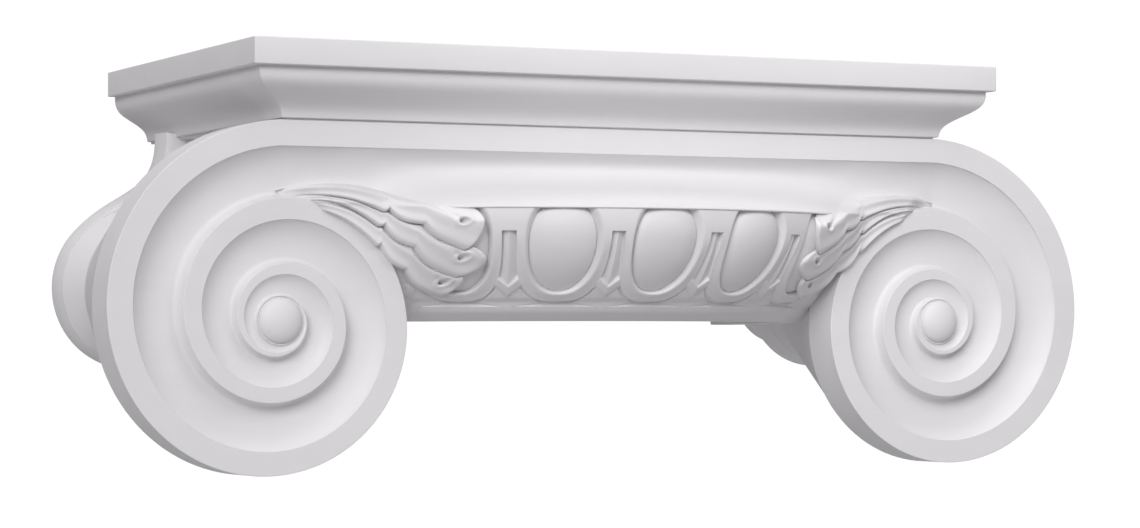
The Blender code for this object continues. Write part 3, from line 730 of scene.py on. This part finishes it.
def core_lofts():
    """The block between the rolls, and on each side the web down to the soffit: sections in
    plan or in elevation, carried straight up or straight back."""
    half, front = 0.147, FACE_Y + 0.0152
    plan = rounded_section([(-half, front), (half, front), (half, WALL_Y), (-half, WALL_Y)], 0.0008)
    levels = np.array([SOCKET_TOP_Z, SOCKET_TOP_Z + 0.0003, DATUM_Z - 0.0155])[:, None]
    inner, outer = 0.1336, 0.159
    web = carried_back(rounded_section([
        (inner, NECK_Z + 0.0002), (outer, NECK_Z + 0.0002), (outer, DATUM_Z - 0.076),
        (0.148, SOCKET_TOP_Z + 0.002), (inner, SOCKET_TOP_Z + 0.002)], 0.0008),
        (AXIS_Y, AXIS_Y + 0.0003, WALL_Y - 0.0006))
    return xyz(plan[:, 0], plan[:, 1], levels), web, web * MIRROR


# ---- bolsters

# The plain stub behind a belt: its centre's distance from the middle, and its radius.
STUB_X, STUB_RADIUS = 0.169, 0.0245
# How far the cup's edge lies inside the belt, and how far the belt falls to its front edge.
CUP_TUCK, BELT_FALL = 0.0013, 0.0013
# Two bends of the belt's neck after its top, as (x, drop).
BELT_NECK = ((0.162, 0.018), (0.1608, 0.0455), (0.1795, 0.0415))
# Steps between the roll's stations.
ROLL_STEPS = (1, 1, 1, 24, 1, 14, 1, 3, 6, 3, 1)


def roll_outline(scroll):
    """The volute's outline from its top round to its inner side, closed by a quarter of a
    superellipse of power 2 / 0.55 back up to the top."""
    turns = np.linspace(0, 0.75, 97)
    outline = np.stack(spiral_point(scroll, turns, spiral_radius(scroll, turns)), 1)
    (inner, low), middle = outline[-1], scroll.eye_x
    angle = np.linspace(0, pi / 2, 25)[1:-1]
    side = np.stack([middle - (middle - inner) * np.cos(angle) ** 0.55,
                     low + (SCROLL_TOP_Z - low) * np.sin(angle) ** 0.55], 1)
    return join([outline, side])


def roll_rings(sizes, scroll, side):
    """The outline scaled down evenly about the waist's centre from the plate to the waist, then
    blended evenly into the belt's circle to form a cup; behind the belt a plain round stub."""
    middle = from_drops((sizes.waist_x, sizes.waist_drop))
    centre = from_drops((sizes.centre_x, sizes.centre_drop))
    outline = roll_outline(scroll) - middle
    bearing = np.arctan2(outline[:, 1], outline[:, 0])
    spokes = np.stack([np.cos(bearing), np.sin(bearing)], 1)
    start, front = FACE_Y + scroll.plate, WALL_Y - sizes.belt_depth
    waist, rear = front - sizes.cup, front + sizes.belt_width
    places = np.array([
        start - 0.004, start - 0.0002, start + 0.0001, start + 0.0008, waist, waist + 0.0002,
        front - 0.0005, front - 0.0003, rear + 0.0002, rear + 0.007, WALL_Y - 0.0012,
        WALL_Y - 0.0008])
    scale = 0.994 * (1 + (sizes.waist - 1) * clamp((places - start) / (waist - start)))
    scale[:2] = 0.985, 0.99
    edge = sizes.belt_radius - CUP_TUCK
    tables = (scale, [0.0] * 6 + [1.0] * 6,
              [edge] * 7 + [edge - 0.0012] * 2 + [STUB_RADIUS] * 2 + [STUB_RADIUS - 0.0003],
              [0.0] * 9 + [STUB_X - sizes.centre_x] * 3)
    y = join([*(np.linspace(a, b, n, endpoint=False)
                for a, b, n in zip(places, places[1:], ROLL_STEPS)), places[-1:]])
    scale, round_share, radius, shift = (
        np.interp(y, places, table)[:, None, None] for table in tables)
    section = ((1 - round_share) * (middle + scale * outline)
               + round_share * (centre + shift * (1.0, 0.0) + radius * spokes))
    return carried_back(section, y) * (side, 1.0, 1.0)


def belt_rings(sizes, side):
    """A crowned band round the waist. Its outline is a circle that leaves by a cubic curve for
    a neck up to the abacus; the outline is drawn in by small steps from front to back."""
    middle = from_drops((sizes.centre_x, sizes.centre_drop))
    angle = np.linspace(sizes.neck_angle, -pi, 80)
    lobe = middle + sizes.belt_radius * np.stack([np.cos(angle), np.sin(angle)], 1)
    bottom = middle - (sizes.belt_radius, 0.0)
    inner = np.linspace(bottom, (bottom[0], DATUM_Z - 0.019), 8)[1:]
    neck = cubic([*from_drops(BELT_NECK), lobe[0]], np.linspace(0, 1, 40)[:-1])
    outline = join([lobe, inner, neck])
    along = np.roll(outline, -1, axis=0) - np.roll(outline, 1, axis=0)
    inward = np.stack([along[:, 1], -along[:, 0]], 1) / np.linalg.norm(along, axis=1)[:, None]
    corner = len(lobe) + len(inner)
    inward[corner - 1], inward[corner] = (1.0, 0.0), (-1.0, 0.0)
    front, width = WALL_Y - sizes.belt_depth, sizes.belt_width
    y = np.linspace(0.0004, width - 0.0005, 12)
    crown = BELT_FALL * clamp(1 - y / (0.8 * width)) ** 1.6
    draw = join([[0.0045, BELT_FALL + 0.0002, BELT_FALL], crown, [0.00015, 0.0005, 0.0045]])
    y = join([[0.0, 0.0, 0.0001], y, [width - 0.00015, width, width]])
    return carried_back(outline + draw[:, None, None] * inward, front + y) * (side, 1.0, 1.0)


# ---- leaves

# Lines between the leaves, from the root by two bends to the end, as (x, drop).
LEAF_LINES = (
    ((0.1569, 0.0492), (0.1224, 0.04), (0.1096, 0.0516), (0.0808, 0.0564)),
    ((0.154, 0.0515), (0.1182, 0.0476), (0.108, 0.0632), (0.084, 0.0732)),
    ((0.152, 0.0544), (0.12, 0.0462), (0.1077, 0.0777), (0.0837, 0.0841)),
    ((0.148, 0.0558), (0.1159, 0.0574), (0.1108, 0.0873), (0.0863, 0.0916)))
# Where each leaf's lower edge has its cusps, as shares of its length, and how far its round lobe
# runs past its end.
TEETH = ((0.552, 0.757), (0.529, 0.728), (0.512, 0.732))
LOBES = (0.0042, 0.0098, 0.0048)
# Middle of each lobe's drilled curl, and the mouth of the groove that runs into it.
CURLS = (((0.086, 0.0614), (0.1027, 0.0506)), ((0.0838, 0.0763), (0.0885, 0.0728)),
         ((0.0872, 0.0862), (0.0915, 0.083)))
# Depth of the curl, height of the rim round it, and half widths of the groove and the crevice.
CURL_DEPTH, CURL_RIM, GROOVE_WIDTH, CREVICE_WIDTH = 0.003, 0.0006, 0.0011, 0.00055
# How far a leaf runs on under the one above, lies over the next, and starts inside its ground.
HIDDEN, OVERLAP, ROOT_SINK = 0.003, 0.0011, 0.006
# A leaf's hidden back as (edge, depth inside the ground): upper, lower, lower and upper again.
# All four differ, so neighbouring leaves share no edge.
LEAF_BACK = ((0, 0.0049), (-1, 0.0046), (-1, 0.0068), (0, 0.0071))
CORNER_EASE = 0.0035


def leaf_ground(scroll, echinus, x, z):
    """Y of the surface that a leaf lies on: the egg band or the channel, or the face plane where
    that lies further out. The lower of two levels a and b is eased by e at their corner:
    (a + b - sqrt((a - b)^2 + e^2)) / 2."""
    on_ring = echinus_front(x, ovolo_radius(z, echinus))
    edge = np.minimum(echinus_front(x, echinus.radius), FACE_Y)
    top = SCROLL_TOP_Z - scroll.rim * (SCROLL_TOP_Z - RING_Z)
    sink = channel_sink(scroll, clamp((top - z) / (top - RING_Z)), FACE_Y - edge)
    front = on_ring + (FACE_Y + sink - on_ring) * ease(z, RING_Z - 0.0015, RING_Z + 0.0015)
    step = front - FACE_Y
    eased = FACE_Y + (step - np.sqrt(step * step + CORNER_EASE ** 2)) / 2
    return front + (eased - front) * ease(x, 0.085, 0.11)


def leaf_stations(index):
    """Shares along a leaf, closer together at its cusps, and how far each is into the lobe."""
    near = np.array([-0.012, -0.006, -0.003, -0.001, 0.0, 0.0005, 0.0015, 0.003, 0.006, 0.01])
    along = np.sort(join([np.linspace(0, 1, 130) ** 0.85, *(
        near + place for place in TEETH[index])]))
    lobe = np.sin(np.linspace(0, pi / 2, 19)[1:])
    return join([along, np.ones(len(lobe))]), join([np.zeros(len(along)), lobe])


def leaf_path(sizes, index):
    """Points (x, z) of a leaf across and along. The lower edge hangs in scallops between cusps:
    its inset is 1 - sin(pi u^0.66) between two cusps; the end swells into a round lobe. The
    upper edge lies hidden under the leaf above."""
    along, lobe = leaf_stations(index)
    upper, lower = (cubic(from_drops(line), along) for line in LEAF_LINES[index:index + 2])
    span = upper - lower
    length = np.linalg.norm(span, axis=1, keepdims=True)
    first, last = TEETH[index]
    before = clamp(1 - (first - along) / 0.045) ** 2
    between = 1 - np.sin(pi * clamp((along - first) / (last - first)) ** 0.66)
    beyond = 1 - np.sin(pi / 2 * clamp((along - last) / (0.4 * (1 - last))) ** 0.8)
    inset = sizes.tooth * np.where(along < first, before, np.where(along < last, between, beyond))
    lower = lower + span / length * np.minimum(inset[:, None], 0.45 * length)
    if index:
        hidden = HIDDEN * ease(along, 0.15, 0.45) * (1 - 0.35 * ease(along, 0.88, 1.0))
        upper = upper + span / length * hidden[:, None]
    across = join([np.linspace(0, 0.46, 24), np.linspace(0.49, 0.91, 13),
                   [0.94, 0.96, 0.975, 0.988, 1.0]])
    path = upper[:, None] + (lower - upper)[:, None] * across[:, None]
    path[..., 0] -= LOBES[index] * lobe[:, None] * np.sin(pi * across) ** 0.6
    return path, along, lobe, across


def nearest(x, z, edge):
    """Distance from every point to the nearest point of an edge, along its segments."""
    start, run = edge[:-1], edge[1:] - edge[:-1]
    reach = np.maximum((run ** 2).sum(1), 1e-12)
    dx, dz = x[..., None] - start[:, 0], z[..., None] - start[:, 1]
    t = clamp((dx * run[:, 0] + dz * run[:, 1]) / reach)
    return np.hypot(dx - t * run[:, 0], dz - t * run[:, 1]).min(axis=-1)


def leaf_rings(sizes, scroll, echinus, index, side):
    """One leaf as a closed skin. Along it the height grows as a quarter sine; across it rises
    from under the leaf above, with a fine crevice along that leaf's edge, and rolls over at
    its own lower edge; the lobe at its end has a drilled curl with a raised rim."""
    path, along, lobe, across = leaf_path(sizes, index)
    x, z = path[..., 0], path[..., 1]
    swell = np.sin(pi / 2 * clamp(along / 0.45)) * np.sqrt(clamp(1 - 0.9 * lobe ** 6))
    if index:
        start = (0.5 + 0.42 * ease(along, 0.86, 0.98))[:, None]
        section = start + (1 - start) * ease(across, 0.12, 0.45)
    else:
        section = ease(across, 0.0, 0.34) - 0.07 * (1 - ease(across, 0.0, 0.15))
    section = section - 0.12 * np.sin(pi * ease(across, 0.35, 0.92))
    section = section - 0.3 * clamp((across - 0.88) / 0.12) ** 2
    lift = OVERLAP * (1 - index) * ease(along, 0.1, 0.5)[:, None] * ease(across, 0.0, 0.3)
    height = sizes.height * swell[:, None] * section + lift
    curl, mouth = from_drops(CURLS[index])
    out, up = (curl[0] - x) / sizes.curl, (z - curl[1]) / sizes.curl
    away = np.hypot((0.94 * out + 0.34 * up) / 1.25, (0.94 * up - 0.34 * out) / 0.8)
    height = height - CURL_DEPTH * np.exp(-(away / 0.74) ** 6)
    height = height + CURL_RIM * np.exp(-((away - 1.45) / 0.42) ** 2)
    groove = np.exp(-(nearest(x, z, np.stack([mouth, curl])) / GROOVE_WIDTH) ** 2)
    run_in = ease(np.hypot(x - mouth[0], z - mouth[1]), 0.0, 0.7 * np.linalg.norm(curl - mouth))
    height = height - sizes.groove * groove * run_in
    if index:
        above = leaf_path(sizes, index - 1)[0]
        edge = join([above[:, -1], above[-1, ::-1]])
        crevice = np.exp(-(nearest(x, z, edge) / CREVICE_WIDTH) ** 2)
        height = height - sizes.crevice * crevice * ease(along, 0.12, 0.4)[:, None]
    height = height - ROOT_SINK * (1 - ease(along, 0.0, 0.16))[:, None]
    ground = leaf_ground(scroll, echinus, x, z)
    tuck, *back = [xyz(x[:, edge, None], ground[:, edge, None] + depth, z[:, edge, None])
                   for edge, depth in LEAF_BACK]
    return join([tuck, xyz(x, ground - height, z), *back], axis=1) * (side, 1.0, 1.0)


# ---- operators

SIDES = {"left": -1, "right": 1}


class CapitalPiece:
    """What the operators share: they work on the scene's own sizes."""
    bl_options = {"REGISTER", "UNDO"}


class MESH_OT_capital_abacus(CapitalPiece, Operator):
    """Make the slab on top with its cyma returned along both sides"""
    bl_idname = "mesh.capital_abacus"
    bl_label = "Abacus"

    def execute(self, context):
        place_piece("abacus", skins(abacus_rings(context.scene.capital_abacus)))
        return {"FINISHED"}


class MESH_OT_capital_scrolls(CapitalPiece, Operator):
    """Make the front face with the channel, both volutes and their eyes"""
    bl_idname = "mesh.capital_scrolls"
    bl_label = "Scrolls and eyes"

    def execute(self, context):
        sizes = context.scene.capital_scroll
        place_piece("scroll_face", scroll_face(sizes, context.scene.capital_echinus.radius),
                    weld=0.000002, wound=False)
        for name, side in SIDES.items():
            place_piece("eye_" + name, skins(eye_rings(sizes, side)))
        return {"FINISHED"}


class MESH_OT_capital_echinus(CapitalPiece, Operator):
    """Make the egg and dart band with the soffit, the neck and the socket"""
    bl_idname = "mesh.capital_echinus"
    bl_label = "Egg and dart band"

    def execute(self, context):
        place_piece("egg_band", skins(echinus_rings(context.scene.capital_echinus)))
        return {"FINISHED"}


class MESH_OT_capital_core(CapitalPiece, Operator):
    """Make the plain block and webs that bear on the wall"""
    bl_idname = "mesh.capital_core"
    bl_label = "Core"

    def execute(self, context):
        place_piece("core", skins(*core_lofts()), "primer_on_back")
        return {"FINISHED"}


class MESH_OT_capital_bolsters(CapitalPiece, Operator):
    """Make the rolls behind the volutes and the belts round their waists"""
    bl_idname = "mesh.capital_bolsters"
    bl_label = "Bolsters and belts"

    def execute(self, context):
        sizes, scroll = context.scene.capital_bolster, context.scene.capital_scroll
        for name, side in SIDES.items():
            place_piece("bolster_" + name, skins(roll_rings(sizes, scroll, side)))
            place_piece("belt_" + name, skins(belt_rings(sizes, side)))
        return {"FINISHED"}


class MESH_OT_capital_leaves(CapitalPiece, Operator):
    """Make the three leaves that fan out of each volute over the eggs"""
    bl_idname = "mesh.capital_leaves"
    bl_label = "Leaves"

    def execute(self, context):
        scene = context.scene
        for name, side in SIDES.items():
            leaves = [leaf_rings(scene.capital_leaf, scene.capital_scroll,
                                 scene.capital_echinus, index, side) for index in range(3)]
            place_piece("leaves_" + name, skins(*leaves), crease=50.0, weld=0.000001)
        return {"FINISHED"}


# Radii of the floor's rings, and those between which it fades out.
FLOOR_RINGS, FLOOR_FADE = (0.001, 0.4, 0.8, 1.1, 1.35), (0.75, 1.32)
# The camera's place, and its turn in degrees.
CAMERA_PLACE, CAMERA_TURN = (-0.63, -1.404, -0.0908), (91.5549, 0.1828, -26.0184)


def floor_material(tone):
    """A plain pale floor, slightly cloudy, that thins out towards its edge."""
    material, tree, shader = blank("pale_floor")
    place = socket(tree, "TexCoord", "Object")
    cloud = socket(tree, "TexNoise", "Fac", {"Scale": 3.0, "Vector": place})
    away = socket(tree, "VectorMath", "Value", {0: place}, operation="LENGTH")
    plug(tree, shader, {
        "Roughness": 0.9, "Specular IOR Level": 0.1,
        "Base Color": blended(tree, cloud, tone, [value * 0.97 for value in tone]),
        "Alpha": ramp(tree, away, 1.0, 0.0, *FLOOR_FADE, interpolation_type="SMOOTHSTEP")})
    return material


class SCENE_OT_capital_stage(CapitalPiece, Operator):
    """Make the floor, the soft light and the camera"""
    bl_idname = "scene.capital_stage"
    bl_label = "Stage"

    def execute(self, context):
        scene, stage = context.scene, context.scene.capital_stage
        around = np.linspace(0, 2 * pi, 96, endpoint=False)
        radius = np.array(FLOOR_RINGS)[:, None]
        points = xyz(radius * np.cos(around), radius * np.sin(around) - 0.1, LOW.z - stage.drop)
        faces = grid_faces(len(radius), len(around), True) + [list(range(len(around)))]
        hang("floor", new_mesh("floor", points, faces, floor_material(stage.floor)))

        # Even light on the capital, before a backdrop of plain white.
        scene.world = bpy.data.worlds.new("studio")
        scene.world.use_nodes = True
        tree = scene.world.node_tree
        even = tree.nodes["Background"]
        plug(tree, even, {"Color": (*stage.tint, 1.0), "Strength": stage.even})
        seen = socket(tree, "LightPath", "Is Camera Ray")
        white = socket(tree, "Background", "Background", {
            "Color": (1.0, 1.0, 1.0, 1.0), "Strength": 1.05})
        plug(tree, tree.nodes["World Output"], {"Surface": socket(tree, "MixShader", "Shader", {
            "Fac": seen, 1: even.outputs["Background"], 2: white})})

        def lit(name, kind, place, turned, **settings):
            lamp = bpy.data.lights.new(name, kind)
            for key, value in settings.items():
                setattr(lamp, key, value)
            hang(name, lamp, place, turned)

        toward = Vector(stage.near_place)
        lit("near", "AREA", Vector((0.0, FACE_Y, DATUM_Z)) + toward,
            toward.to_track_quat("Z", "Y").to_euler(),
            shape="DISK", size=stage.near_size, energy=stage.near)
        for name, strength, across, height in (
                ("key", stage.key, stage.key_side, stage.key_height),
                ("top", stage.top, 0.0, radians(86.0))):
            lit(name, "SUN", (-1.0, -1.5, 1.5), (pi / 2 - height, 0.0, across),
                energy=strength, angle=stage.softness)

        camera = bpy.data.cameras.new("camera")
        camera.lens = stage.lens
        camera.clip_start, camera.clip_end = 0.05, 50.0
        scene.camera = hang("camera", camera, CAMERA_PLACE, np.radians(CAMERA_TURN))
        scene.view_settings.view_transform = "Standard"
        return {"FINISHED"}


MAKING_ORDER = (
    MESH_OT_capital_abacus, MESH_OT_capital_scrolls, MESH_OT_capital_echinus,
    MESH_OT_capital_core, MESH_OT_capital_bolsters, MESH_OT_capital_leaves,
    SCENE_OT_capital_stage)


class VIEW3D_PT_capital(Panel):
    """The capital's pieces in making order, each with its sizes"""
    bl_idname = "VIEW3D_PT_capital"
    bl_label = "Ionic capital"
    bl_space_type = "VIEW_3D"
    bl_region_type = "UI"
    bl_category = "Capital"

    def draw(self, context):
        for operator in MAKING_ORDER:
            self.layout.operator(operator.bl_idname, text=operator.bl_label)
        for name, group in GROUPS.items():
            box = self.layout.box()
            box.label(text=group.__doc__.strip())
            for key in group.__annotations__:
                box.prop(getattr(context.scene, name), key)


CLASSES = (*GROUPS.values(), *MAKING_ORDER, VIEW3D_PT_capital)


def register():
    for made in CLASSES:
        bpy.utils.register_class(made)
    for name, group in GROUPS.items():
        setattr(bpy.types.Scene, name, PointerProperty(type=group))


def unregister():
    for name in GROUPS:
        delattr(bpy.types.Scene, name)
    for made in reversed(CLASSES):
        bpy.utils.unregister_class(made)


def main():
    register()
    for operator in MAKING_ORDER:
        group, name = operator.bl_idname.split(".")
        getattr(getattr(bpy.ops, group), name)()


if __name__ == "__main__":
    main()
